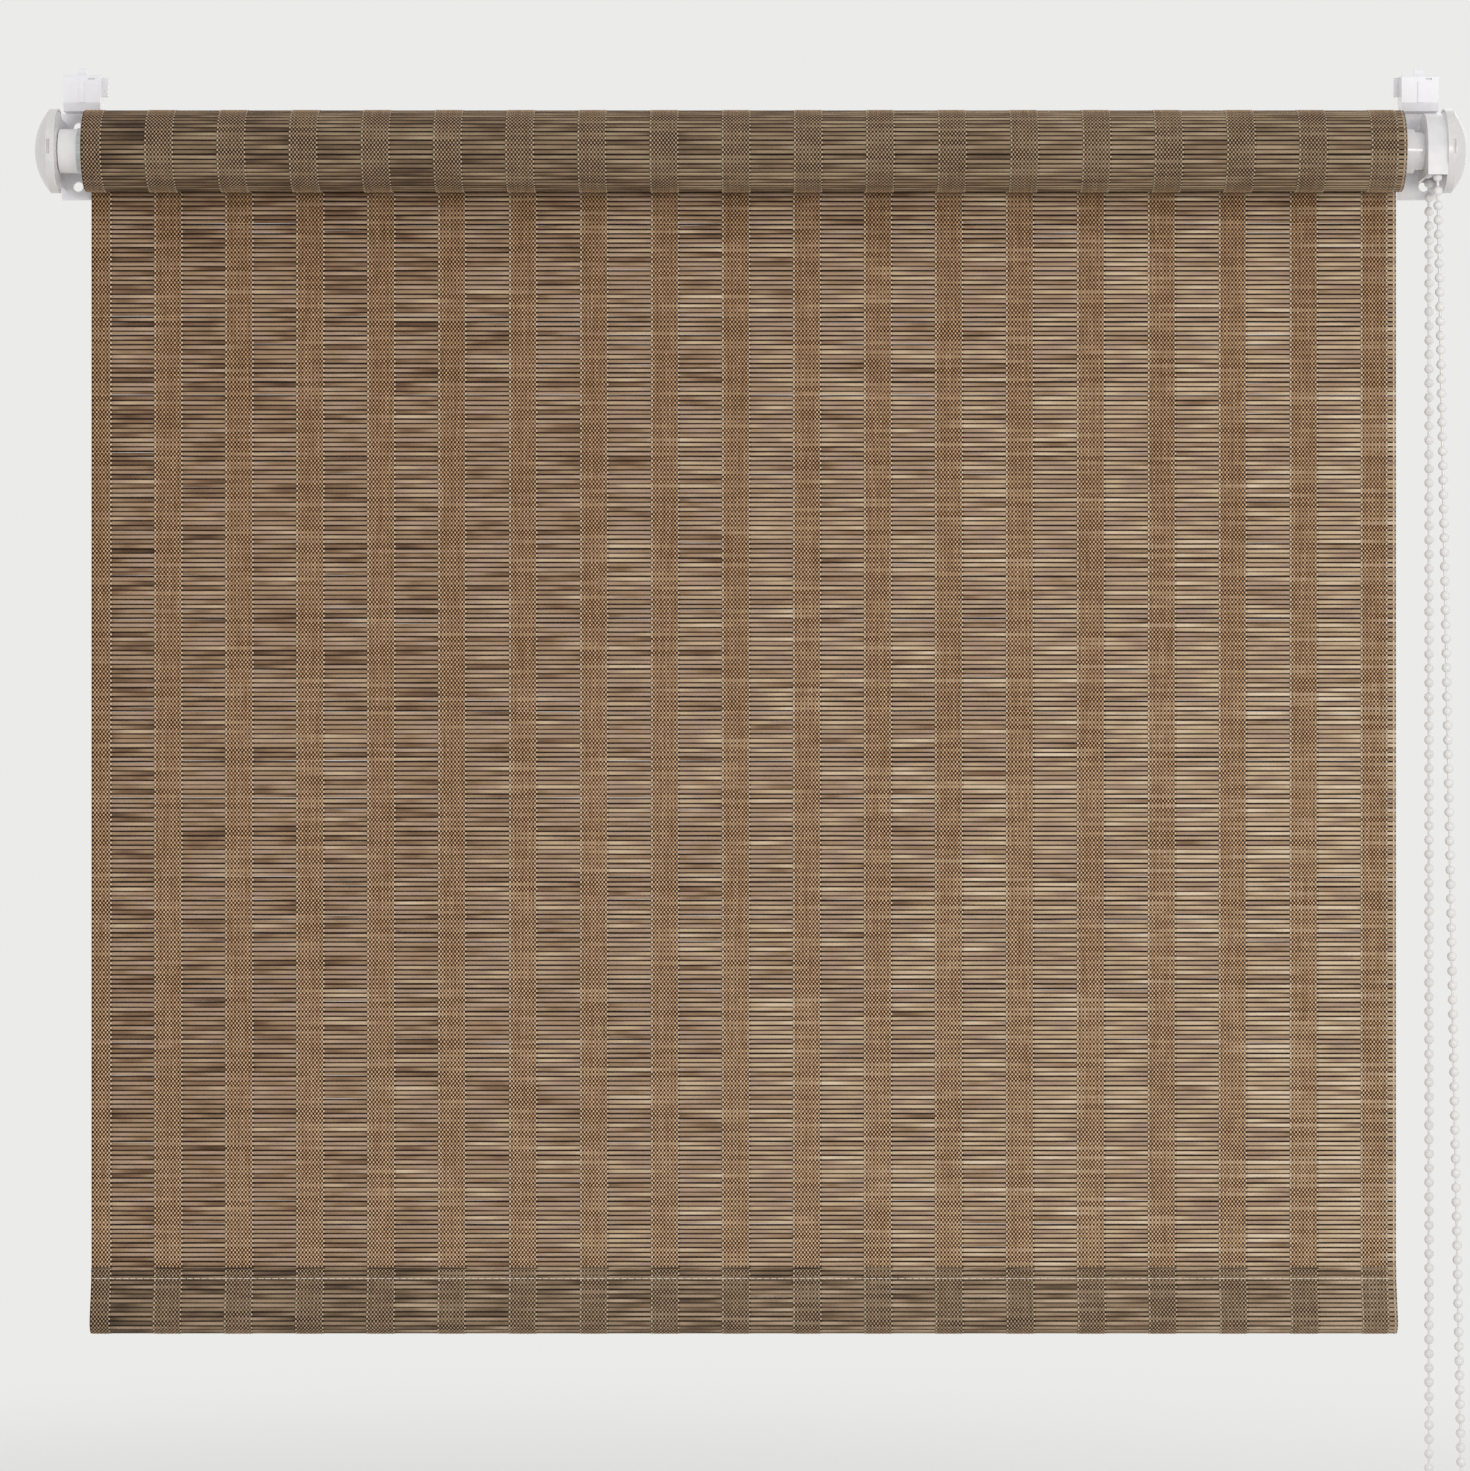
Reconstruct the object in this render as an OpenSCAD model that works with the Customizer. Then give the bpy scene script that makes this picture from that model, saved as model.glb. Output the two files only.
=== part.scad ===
// Small chain-driven roller blind with a bamboo-look woven cloth, hung on a window sash.
// X runs along the roll, Y goes from the room to the sash, Z is up. All sizes are in millimetres.
// The origin is the middle of the four screw holes, on the brackets' back plane, level with the roll.

/* [Cloth] */
// width of the woven cloth
cloth_width = 550; // [300:1:1200]
// height of the hanging cloth from the roll's axis to the hem flap
cloth_drop = 468.5; // [250:0.5:900]
// thickness of one layer of cloth
cloth_thickness = 0.7; // [0.5:0.05:1]
// repeat of the stripes across the cloth
stripe_repeat = 29.92; // [20:0.01:45]
// width of the open band of unbound reeds in each repeat
open_band = 17.85; // [12:0.05:19]
// plain woven margin at the left edge
left_margin = 8.65; // [5:0.05:12]
// pitch of the reeds in the weave
reed_pitch = 1.95; // [1.7:0.05:2.6]

/* [Roll] */
// diameter of the rolled-up cloth
roll_diameter = 34; // [31:0.5:36]
// outside diameter of the tube
tube_diameter = 19; // [18.6:0.1:20]
// wall of the tube
tube_wall = 1; // [0.8:0.05:1.1]

/* [Brackets] */
// distance of the roll's axis from the sash
axis_distance = 23; // [22.5:0.25:27]
// gap from the left bracket disc to the cloth
idle_gap = 11; // [10:0.5:14]
// gap from the right bracket disc to the cloth
drive_gap = 17; // [16.5:0.5:20]
// radius of the bracket disc
disc_radius = 16.3; // [15.9:0.1:17]
// thickness of the bracket disc
disc_thickness = 2; // [1.6:0.1:2.6]
// thickness of the back plate
plate_thickness = 2.5; // [2:0.1:3]
// height between the two screw holes of a bracket
hole_spacing = 25; // [22:0.5:26]
// radius of each screw hole
hole_radius = 2.1; // [1.8:0.1:2.3]
// top of the head block above the roll's axis
head_top = 33.6; // [33:0.1:36]
// depth of the head block from the sash to its front face
head_depth = 12; // [11:0.25:12.5]
// height of the domed end cap
dome_height = 6.5; // [5:0.25:8]
// thickness of sash that the hooks hold at rest
sash_thickness = 18; // [15:0.5:24]

/* [Chain drive] */
// diameter of one bead
bead_diameter = 4.2; // [3.8:0.1:4.4]
// pitch of the beads
bead_pitch = 6; // [5.8:0.05:6.1]
// number of beads hanging in each strand
strand_beads = 98; // [40:1:140]
// number of pockets in the sprocket
sprocket_pockets = 12; // [12:2:12]
// distance that the front strand hangs off to the right at its foot
strand_lean = 10.7; // [0:0.1:14]

/* [Hem] */
// height of the hem from the flap to its foot
hem_height = 27.5; // [25:0.5:34]
// radius of the hem pocket at its foot
hem_radius = 5.2; // [4.8:0.1:5.4]

/* [Hidden] */

// places along the roll
span = cloth_width + idle_gap + drive_gap;
left_face = -span / 2;
right_face = span / 2;
cloth_left = left_face + idle_gap;
cloth_right = right_face - drive_gap;
axis_y = -axis_distance;

// woven bands across the cloth
repeats = floor((cloth_width - left_margin - open_band - 4) / stripe_repeat) + 1;
band_start = [for (k = [0 : repeats]) k == 0 ? 0 : left_margin + (k - 1) * stripe_repeat + open_band];
band_end = [for (k = [0 : repeats]) k == repeats ? cloth_width : left_margin + k * stripe_repeat];

// layers of the weave
reed_crest = cloth_thickness / 2;
reed_valley = cloth_thickness / 2 - 0.22;
band_skin = 0.15;
weave_half = reed_crest + 0.02 + band_skin;

// the roll
roll_radius = roll_diameter / 2;
tube_radius = tube_diameter / 2;
tube_inner = tube_radius - tube_wall;
roll_bore = tube_radius + 0.25;
ridge_count = round(2 * PI * roll_radius / reed_pitch);
turn_count = floor((roll_radius - roll_bore) / cloth_thickness);
tape_width = 12;

// the hanging cloth, just behind the roll
drop_y = axis_y + roll_radius + 0.3 + weave_half;
drop_margin = 3;
reed_count = floor((cloth_drop - 2 * drop_margin) / reed_pitch);

// the drive, measured inward from the right bracket disc
chain_plane = 4;
pocket_circle = bead_pitch / (2 * sin(180 / sprocket_pockets));
bead_radius = bead_diameter / 2;
wheel_radius = pocket_circle - 0.2;
wheel_half = 3;
housing_inner = pocket_circle + bead_radius + 0.5;
housing_outer = housing_inner + 1.4;
housing_depth = 8.2;
housing_foot = 11.5;
neck_radius = tube_inner - 0.65;
hub_radius = 6.3;
spindle_radius = 4.2;
cord_radius = 0.6;
core_reach = drive_gap + 30;
clip_place = core_reach + 1;
spindle_reach = core_reach + 3;

// the end caps
cap_radius = disc_radius + 1.2;
cap_rim = disc_thickness + 1.5;
dome_radius = (cap_radius * cap_radius + dome_height * dome_height) / (2 * dome_height);

// the head block and its hook
head_width = 15.5;
plate_foot = -18;
head_foot = 18.3;
arm_low = head_top - 9.4;
arm_thickness = 2;
hook_width = 9.6;

// the hem
hem_top = -cloth_drop;
hem_foot = hem_top - hem_height;
hem_y = drop_y - 1.2;
hem_mid = hem_foot + hem_radius;
neck_up = hem_height - hem_radius - 6.5;
hem_tip = 1.5;
hem_slope = asin((hem_radius - hem_tip) / neck_up);
flank = neck_up * cos(hem_slope);
foot_arc = hem_radius * (180 + 2 * hem_slope) * PI / 180;
hem_reeds = floor((2 * flank + foot_arc - 6) / reed_pitch);

// a shape drawn in Y and Z, run along X
module along_x(start, length) {
  translate([start, 0, 0])
    rotate([90, 0, 90])
      linear_extrude(height = length)
        children();
}

// a round bar on the roll's axis
module rod(start, length, radius) {
  translate([start, axis_y, 0])
    rotate([0, 90, 0])
      cylinder(h = length, r = radius, $fn = 96);
}

// places a thing drawn outward from the right disc's inner face
module at_right() {
  translate([right_face, 0, 0])
    children();
}

// the same thing mirrored to the left disc's inner face
module at_left() {
  translate([left_face, 0, 0])
    mirror([1, 0, 0])
      children();
}

// side of the head block, with a set-back foot and a small bevel on top
module head_side() {
  polygon([
    [0, head_foot - 2],
    [0, head_top],
    [-head_depth + 1, head_top],
    [-head_depth, head_top - 1],
    [-head_depth, head_top - 11.8],
    [-head_depth + 1.4, head_foot],
    [-plate_thickness, head_foot],
    [-plate_thickness, head_foot - 2]
  ]);
}

// the moulded head with a channel for the hook arm, a springy release tab and a small slot in its face
module head_block(slot) {
  difference() {
    union() {
      along_x(-head_width, head_width)
        head_side();
      translate([-head_width - 2, -plate_thickness, head_top - 8])
        cube([3, plate_thickness, 8]);
      translate([-head_width / 2 - 1, -head_depth - 0.5, head_top - 11.8])
        cube([2, 1, 9]);
      translate([-head_width / 2 - 2, -head_depth + 3.4, head_top - 1])
        cube([4, 3, 2.6]);
      translate([-head_width / 2 - 2, -head_depth + 4.9, head_top + 1.6])
        rotate([0, 90, 0])
          cylinder(h = 4, r = 1.5, $fn = 32);
    }
    translate([-head_width / 2 - hook_width / 2 - 0.2, -head_depth + 1.4, arm_low - 0.2])
      cube([hook_width + 0.4, head_depth, arm_thickness + 0.4]);
    translate([slot, -head_depth - 1, head_top - 2.3])
      cube([2.6, 2, 0.8]);
    translate([-head_width / 2 + 2.4, -head_depth + 2.2, arm_low])
      cube([0.9, head_depth - 4.4, 12]);
    translate([-head_width / 2 - 3.3, -head_depth + 2.2, arm_low])
      cube([0.9, head_depth - 4.4, 12]);
    translate([-head_width / 2 - 3.3, -head_depth + 2.2, arm_low])
      cube([6.6, 0.8, 12]);
  }
}

// back plate, round disc and head in one moulding, with a bore on the axis and a slot in the face
module bracket(bore, slot) {
  difference() {
    union() {
      translate([-head_width - 0.5, -plate_thickness, plate_foot])
        cube([head_width + 0.5 + disc_thickness, plate_thickness, head_foot - plate_foot]);
      rod_local(0, disc_thickness, disc_radius);
      translate([0, axis_y + 6, -disc_radius + 2])
        cube([disc_thickness, axis_distance - 6, 2 * disc_radius - 4]);
      head_block(slot);
    }
    rod_local(-1, disc_thickness + 2, bore);
    for (side = [-1, 1])
      translate([-5, 1, side * hole_spacing / 2])
        rotate([90, 0, 0])
          cylinder(h = plate_thickness + 2, r = hole_radius, $fn = 48);
  }
}

// a round bar on the axis, measured from a disc's inner face
module rod_local(start, length, radius) {
  translate([start, axis_y, 0])
    rotate([0, 90, 0])
      cylinder(h = length, r = radius, $fn = 96);
}

module left_bracket() {
  color("#f1f0ed")
    at_left()
      bracket(2.5, -head_width + 2.4);
}

module right_bracket() {
  color("#f1f0ed")
    at_right()
      bracket(spindle_radius + 0.1, -5.5);
}

// a point on a dome of the given radius, seen from the side
function dome_point(radius, reach, part) = [
  radius * sin(part * asin(reach / radius)),
  cap_rim + dome_height - dome_radius + radius * cos(part * asin(reach / radius))
];

// hollow domed cap with a skirt over the disc's edge and a slot to prise it off
module end_cap() {
  steps = 10;
  skirt = disc_radius + 0.15;
  inside = disc_radius - 1.3;
  difference() {
    translate([0, axis_y, 0])
      rotate([0, 90, 0])
        rotate_extrude($fn = 96)
          polygon(concat(
            [for (k = [0 : steps]) dome_point(dome_radius, cap_radius, k / steps)],
            [[cap_radius, 0], [skirt, 0], [skirt, disc_thickness], [inside, disc_thickness]],
            [for (k = [steps : -1 : 0]) dome_point(dome_radius - 1.5, inside, k / steps)]
          ));
    translate([-1, axis_y + 5, -cap_radius - 1])
      cube([disc_thickness + 1, cap_radius, 2 * cap_radius + 2]);
    translate([disc_thickness - 0.2, axis_y - cap_radius - 1, -3])
      cube([1.3, 2, 6]);
  }
}

module left_end_cap() {
  color("#f4f3f0")
    at_left()
      end_cap();
}

module right_end_cap() {
  color("#f4f3f0")
    at_right()
      end_cap();
}

// flat hook that runs over the top of the sash and down its back
module sash_hook() {
  difference() {
    union() {
      translate([-head_width / 2 - hook_width / 2, -6, arm_low])
        cube([hook_width, sash_thickness + 8, arm_thickness]);
      translate([-head_width / 2 - hook_width / 2, sash_thickness, arm_low - 13])
        cube([hook_width, arm_thickness, 13 + arm_thickness]);
      translate([-head_width / 2 - hook_width / 2, sash_thickness + arm_thickness, arm_low - 13])
        rotate([0, 90, 0])
          cylinder(h = hook_width, r = 1.2, $fn = 32);
    }
    for (tooth = [0 : 4])
      translate([-head_width / 2 - 6, -5 + tooth * 1.1, arm_low + arm_thickness])
        rotate([45, 0, 0])
          cube([12, 0.6, 0.6]);
  }
}

module left_sash_hook() {
  color("#e6e5e2")
    at_left()
      sash_hook();
}

module right_sash_hook() {
  color("#e6e5e2")
    at_right()
      sash_hook();
}

// steel pin with a flat head behind the left disc
module idle_pin() {
  color("#b9bcc0")
    at_left()
      union() {
        rod_local(-22, 22 + disc_thickness, 2.4);
        rod_local(disc_thickness, 1.2, 4.5);
        translate([-23, axis_y, 0])
          rotate([0, 90, 0])
            cylinder(h = 1, r1 = 1.6, r2 = 2.4, $fn = 48);
      }
}

// plug in the tube's left end, turning on the pin
module idle_plug() {
  color("#efeeeb")
    at_left()
      difference() {
        union() {
          rod_local(-8, 7.6, tube_radius - 0.35);
          rod_local(-27, 19.5, tube_inner - 0.1);
        }
        rod_local(-28, 29, 2.45);
        for (turn = [0 : 60 : 300])
          translate([0, axis_y, 0])
            rotate([turn, 0, 0])
              translate([-28, 4.6, -1])
                cube([18, 2.4, 2]);
      }
}

module roll_tube() {
  color("#c9ccce")
    difference() {
      rod(left_face + 8, cloth_right - left_face - 8, tube_radius);
      rod(left_face, span, tube_inner);
    }
}

// strip that fixes the first turn of cloth to the tube
module fixing_tape() {
  color("#d8d2c0")
    intersection() {
      difference() {
        rod(cloth_left + 3, cloth_width - 6, tube_radius + 0.2);
        rod(cloth_left, cloth_width, tube_radius + 0.04);
      }
      translate([cloth_left, axis_y, -tape_width / 2])
        cube([cloth_width, tube_radius + 1, tape_width]);
    }
}

// a point of the ridged outline round the roll
function ridge_point(turn, radius) = [axis_y + radius * cos(turn), radius * sin(turn)];

// reeds round the roll; one tall ridge carries the woven bands
module roll_outline() {
  step = 360 / ridge_count;
  polygon([
    for (k = [0 : ridge_count - 1])
      for (part = [0 : 2])
        ridge_point(
          (k + [0, 0.28, 0.72][part]) * step,
          roll_radius - (part == 0 ? 0.4 : k == 0 ? 0.07 : band_skin)
        )
  ]);
}

// a thin winding line that parts the turns on the roll's ends
module turn_line() {
  count = turn_count * 20;
  polygon(concat(
    [for (k = [0 : count]) ridge_point(k * 18, roll_bore + (k / 20 + 0.3) * cloth_thickness)],
    [for (k = [count : -1 : 0]) ridge_point(k * 18, roll_bore + (k / 20 + 0.02) * cloth_thickness)]
  ));
}

module cloth_roll() {
  color("#a08768")
    difference() {
      union() {
        along_x(cloth_left, cloth_width)
          roll_outline();
        for (k = [0 : repeats])
          difference() {
            rod(cloth_left + band_start[k], band_end[k] - band_start[k], roll_radius);
            rod(cloth_left + band_start[k] - 1, band_end[k] - band_start[k] + 2, roll_radius - 0.13);
          }
      }
      rod(cloth_left - 1, cloth_width + 2, roll_bore);
      along_x(cloth_left - 1, 2)
        turn_line();
      along_x(cloth_right - 1, 2)
        turn_line();
    }
}

// output core: flange on the tube's end, ribbed plug in the tube, neck through the housing
module drive_core() {
  color("#efeeeb")
    at_right()
      difference() {
        union() {
          rod_local(-drive_gap, drive_gap - 12.4, tube_radius - 0.25);
          rod_local(-core_reach, core_reach - drive_gap + 1, tube_inner - 0.1);
          rod_local(-13, 5.8, neck_radius);
        }
        rod_local(-drive_gap - 9, drive_gap + 10, hub_radius + 0.1);
        rod_local(-core_reach - 1, core_reach - drive_gap, spindle_radius + 0.05);
        for (turn = [0 : 60 : 300])
          translate([0, axis_y, 0])
            rotate([turn, 0, 0])
              translate([-core_reach - 1, tube_inner - 1.4, -1])
                cube([24, 2, 2]);
      }
}

// place of a pocket or bead on the sprocket
function pocket_at(turn) = [-chain_plane, axis_y + pocket_circle * cos(turn), pocket_circle * sin(turn)];

module chain_sprocket() {
  color("#e9e8e4")
    at_right()
      difference() {
        union() {
          rod_local(-chain_plane - wheel_half, 2 * wheel_half, wheel_radius);
          rod_local(-drive_gap - 8, drive_gap + 8 - chain_plane, hub_radius);
        }
        rod_local(-drive_gap - 9, drive_gap + 10, spindle_radius + 0.05);
        rod_local(-drive_gap - 9, drive_gap + 9 - chain_plane - wheel_half, 5.2);
        for (k = [0 : sprocket_pockets - 1])
          translate(pocket_at(k * 360 / sprocket_pockets))
            sphere(r = bead_radius + 0.15, $fn = 48);
        difference() {
          rod_local(-chain_plane - 0.9, 1.8, wheel_radius + 1);
          rod_local(-chain_plane - 1, 2, pocket_circle - 1.2);
        }
      }
}

// close-wound spring that grips the spindle
module clutch_spring() {
  coils = floor((drive_gap - 4) / 0.9);
  color("#8d9094")
    translate([right_face - drive_gap - 5, axis_y, 0])
      rotate([0, 90, 0])
        rotate_extrude($fn = 96)
          polygon(concat(
            [[spindle_radius + 0.07, 0]],
            [for (k = [0 : coils - 1]) for (part = [0 : 1]) [part == 0 ? 4.8 : 5.08, (k + part * 0.5) * 0.9]],
            [[4.8, coils * 0.9], [spindle_radius + 0.07, coils * 0.9]]
          ));
}

// fixed spindle with a flange behind the right disc and a groove for the clip
module drive_spindle() {
  color("#efeeeb")
    at_right()
      difference() {
        union() {
          rod_local(-spindle_reach, spindle_reach + disc_thickness, spindle_radius);
          rod_local(disc_thickness, 1.4, 8);
        }
        difference() {
          rod_local(-clip_place - 0.1, 1, spindle_radius + 1);
          rod_local(-clip_place - 1, 3, spindle_radius - 0.8);
        }
        rod_local(-spindle_reach - 1, core_reach, 2);
      }
}

module spindle_clip() {
  color("#9ea1a5")
    at_right()
      difference() {
        rod_local(-clip_place, 0.8, spindle_radius + 1.8);
        rod_local(-clip_place - 1, 3, spindle_radius - 0.75);
        translate([-clip_place - 1, axis_y - 2.4, -8])
          cube([3, 4.8, 8]);
      }
}

// outline of the chain housing: round above, straight sides below
module housing_side(radius, foot) {
  translate([axis_y, 0])
    circle(r = radius, $fn = 96);
  translate([axis_y - radius, foot])
    square([2 * radius, -foot]);
}

module chain_housing() {
  color("#f3f2ef")
    at_right()
      difference() {
        along_x(-housing_depth, housing_depth)
          intersection() {
            housing_side(housing_outer, -housing_foot);
            translate([axis_y - housing_outer - 1, -housing_foot])
              square(2 * housing_outer + 2);
          }
        along_x(-housing_depth + 1, housing_depth + 1)
          housing_side(housing_inner, -housing_outer - 4);
        rod_local(-housing_depth - 1, 3, neck_radius + 0.3);
      }
}

// beads over the sprocket, down the front strand, round the foot and up the back strand
front_y = axis_y - pocket_circle;
back_y = axis_y + pocket_circle;
top_beads = sprocket_pockets / 2;
strand_foot = -strand_beads * bead_pitch;
loop_half = norm([strand_lean, 2 * pocket_circle]) / 2;
loop_beads = round(PI * loop_half / bead_pitch);
function front_bead(k) = [-chain_plane + strand_lean * k / strand_beads, front_y, -k * bead_pitch];
function back_bead(k) = [-chain_plane, back_y, -k * bead_pitch];
function foot_bead(k) = [
  -chain_plane + strand_lean * (0.5 + 0.5 * cos(180 * k / loop_beads)),
  axis_y - pocket_circle * cos(180 * k / loop_beads),
  strand_foot - loop_half * sin(180 * k / loop_beads)
];
beads = concat(
  [for (k = [0 : top_beads - 1]) pocket_at(k * 360 / sprocket_pockets)],
  [for (k = [0 : strand_beads]) front_bead(k)],
  [for (k = [1 : loop_beads - 1]) foot_bead(k)],
  [for (k = [strand_beads : -1 : 1]) back_bead(k)]
);

// the cord between two beads, starting and ending inside them
module cord_link(from, to) {
  way = to - from;
  size = norm(way);
  translate(from)
    rotate([0, acos(way[2] / size), atan2(way[1], way[0])])
      translate([0, 0, 1])
        cylinder(h = size - 2, r = cord_radius, $fn = 16);
}

module bead_chain() {
  foot = top_beads + strand_beads;
  color("#f5f4f1")
    at_right()
      union() {
        cord_link(front_bead(0), front_bead(strand_beads));
        cord_link(back_bead(0), back_bead(strand_beads));
        for (k = [0 : top_beads - 1])
          cord_link(beads[k], beads[k + 1]);
        for (k = [foot : foot + loop_beads - 1])
          cord_link(beads[k], beads[k + 1]);
        for (place = beads)
          translate(place)
            sphere(r = bead_radius, $fn = 24);
      }
}

// reeds of the hanging cloth on one face; side is -1 for the room and 1 for the sash
function reed_row(side) = [
  for (k = [0 : reed_count - 1])
    for (part = [0 : 2])
      [
        drop_y + side * (part == 0 ? reed_valley : reed_crest),
        -drop_margin - (k + [0, 0.28, 0.72][part]) * reed_pitch
      ]
];
function turned(list) = [for (k = [len(list) - 1 : -1 : 0]) list[k]];
land = reed_crest + 0.08;

module drop_cloth() {
  reeds_end = -drop_margin - reed_count * reed_pitch;
  color("#b39775")
    union() {
      along_x(cloth_left, cloth_width)
        polygon(concat(
          [[drop_y - land, 0], [drop_y - land, -drop_margin]],
          reed_row(-1),
          [[drop_y - land, reeds_end], [drop_y - land, hem_top]],
          [[drop_y + land, hem_top], [drop_y + land, reeds_end]],
          turned(reed_row(1)),
          [[drop_y + land, -drop_margin], [drop_y + land, 0]]
        ));
      for (k = [0 : repeats]) {
        translate([cloth_left + band_start[k], drop_y - weave_half, hem_top])
          cube([band_end[k] - band_start[k], band_skin, cloth_drop]);
        translate([cloth_left + band_start[k], drop_y + weave_half - band_skin, hem_top])
          cube([band_end[k] - band_start[k], band_skin, cloth_drop]);
      }
    }
}

// the hem pocket's outline: down the back, round the foot and up the front
function hem_point(run, out) =
  run < flank ? [
    hem_y + (hem_tip + (hem_radius - hem_tip) * run / flank + out) * cos(hem_slope),
    hem_mid + (neck_up + (hem_tip + out) * sin(hem_slope)) * (1 - run / flank)
      + (hem_radius + out) * sin(hem_slope) * run / flank
  ] :
  run > flank + foot_arc ? [
    2 * hem_y - hem_point(2 * flank + foot_arc - run, out)[0],
    hem_point(2 * flank + foot_arc - run, out)[1]
  ] : [
    hem_y + (hem_radius + out) * cos(hem_slope - (run - flank) / hem_radius * 180 / PI),
    hem_mid + (hem_radius + out) * sin(hem_slope - (run - flank) / hem_radius * 180 / PI)
  ];
hem_run = 2 * flank + foot_arc;
hem_reed_start = (hem_run - hem_reeds * reed_pitch) / 2;

module hem_outline() {
  polygon(concat(
    [hem_point(0, 0), hem_point(hem_reed_start - 0.1, 0)],
    [
      for (k = [0 : hem_reeds - 1])
        for (part = [0 : 2])
          hem_point(hem_reed_start + (k + [0, 0.28, 0.72][part]) * reed_pitch, part == 0 ? -0.3 : -0.12)
    ],
    [hem_point(hem_run - hem_reed_start + 0.1, 0), hem_point(hem_run, 0)]
  ));
}

// one woven band round the pocket
module hem_band() {
  steps = 22;
  polygon(concat(
    [hem_point(0, 0.08)],
    [for (k = [0 : steps]) hem_point(flank + foot_arc * k / steps, 0.08)],
    [hem_point(hem_run, 0.08), hem_point(hem_run, -0.07)],
    [for (k = [steps : -1 : 0]) hem_point(flank + foot_arc * k / steps, -0.07)],
    [hem_point(0, -0.07)]
  ));
}

module hem_hollow() {
  steps = 22;
  polygon(concat(
    [hem_point(0.5, -1)],
    [for (k = [0 : steps]) hem_point(flank + foot_arc * k / steps, -1)],
    [hem_point(hem_run - 0.5, -1)]
  ));
}

module hem_pocket() {
  color("#94795a")
    difference() {
      union() {
        along_x(cloth_left, cloth_width)
          hem_outline();
        translate([cloth_left, drop_y - 3 * reed_crest, hem_mid + neck_up - 1])
          cube([cloth_width, 4 * reed_crest, hem_top - hem_mid - neck_up + 1]);
        for (k = [0 : repeats])
          along_x(cloth_left + band_start[k], band_end[k] - band_start[k])
            hem_band();
      }
      along_x(cloth_left - 1, cloth_width + 2)
        hem_hollow();
    }
}

module bar_outline(out) {
  steps = 22;
  polygon(concat(
    [hem_point(3, out)],
    [for (k = [0 : steps]) hem_point(flank + foot_arc * k / steps, out)],
    [hem_point(hem_run - 3, out)]
  ));
}

// hollow drawn aluminium weight bar
module hem_bar() {
  color("#c3c6c8")
    along_x(cloth_left + 4, cloth_width - 8)
      difference() {
        bar_outline(-1.2);
        bar_outline(-2.2);
      }
}

left_bracket();
right_bracket();
left_end_cap();
right_end_cap();
left_sash_hook();
right_sash_hook();
idle_pin();
idle_plug();
roll_tube();
fixing_tape();
cloth_roll();
drive_core();
chain_sprocket();
clutch_spring();
drive_spindle();
spindle_clip();
chain_housing();
bead_chain();
drop_cloth();
hem_pocket();
hem_bar();
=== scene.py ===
import math

import bpy
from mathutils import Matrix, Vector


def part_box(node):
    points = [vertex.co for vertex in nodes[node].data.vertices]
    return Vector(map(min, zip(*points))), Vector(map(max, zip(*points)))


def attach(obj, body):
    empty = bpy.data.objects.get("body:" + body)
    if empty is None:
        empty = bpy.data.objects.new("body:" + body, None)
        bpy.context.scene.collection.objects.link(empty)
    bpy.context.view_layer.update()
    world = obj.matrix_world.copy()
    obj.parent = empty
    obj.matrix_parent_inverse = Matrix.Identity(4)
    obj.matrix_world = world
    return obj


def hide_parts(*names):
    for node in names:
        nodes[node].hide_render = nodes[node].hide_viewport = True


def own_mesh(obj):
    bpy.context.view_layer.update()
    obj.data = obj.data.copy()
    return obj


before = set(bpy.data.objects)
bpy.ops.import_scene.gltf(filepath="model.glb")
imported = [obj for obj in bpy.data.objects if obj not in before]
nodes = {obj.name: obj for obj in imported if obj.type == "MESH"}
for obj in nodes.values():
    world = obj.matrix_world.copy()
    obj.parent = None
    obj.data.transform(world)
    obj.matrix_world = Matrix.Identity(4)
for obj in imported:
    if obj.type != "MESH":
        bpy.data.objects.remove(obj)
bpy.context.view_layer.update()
scene = bpy.context.scene


def linearColor(hexText):  # sRGB hex to the linear values Blender wants
    parts = [int(hexText[k:k + 2], 16) / 255 for k in (1, 3, 5)]
    return [p / 12.92 if p <= 0.04045 else ((p + 0.055) / 1.055) ** 2.4 for p in parts] + [1.0]


def setStops(elements, stops):  # colours along a ramp, each at its place
    elements.remove(elements[1])
    elements[0].position = stops[0][0]
    elements[0].color = linearColor(stops[0][1])
    for place, color in stops[1:]:
        elements.new(place).color = linearColor(color)


def addNode(tree, kind, *feeds, **settings):
    # one node, its settings and what feeds it: values for sockets in turn, or a dictionary of named ones
    node = tree.nodes.new(kind)
    for name, value in settings.items():
        if name == "stops":
            setStops(node.color_ramp.elements, value)
        else:
            setattr(node, name, value)
    named = feeds[0] if feeds and isinstance(feeds[0], dict) else dict(enumerate(feeds))
    for key, value in named.items():
        sockets = [s for s in node.inputs if s.name == key and s.enabled] if isinstance(key, str) else []
        socket = sockets[0] if sockets else node.inputs[key]
        if isinstance(value, bpy.types.Node):
            value = value.outputs[0]
        if isinstance(value, bpy.types.NodeSocket):
            tree.links.new(value, socket)
        else:
            socket.default_value = value
    return node


def newObject(name, verts, edges, faces):
    mesh = bpy.data.meshes.new(name)
    mesh.from_pydata(verts, edges, faces)
    mesh.update()
    obj = bpy.data.objects.new(name, mesh)
    scene.collection.objects.link(obj)
    return obj


# camera, at the photo's place: about 2 m off, square on, a long lens
cameraSizes = {"place": (-0.0067, -2.0055, -0.2442), "lens": 116.1, "sensor": 36.0, "far": 60}
cameraData = bpy.data.cameras.new("camera")
cameraData.lens = cameraSizes["lens"]
cameraData.sensor_width = cameraSizes["sensor"]
cameraData.clip_end = cameraSizes["far"]
camera = bpy.data.objects.new("camera", cameraData)
camera.location = cameraSizes["place"]
camera.rotation_euler = (math.radians(90), 0, 0)
scene.collection.objects.link(camera)
scene.camera = camera

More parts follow.
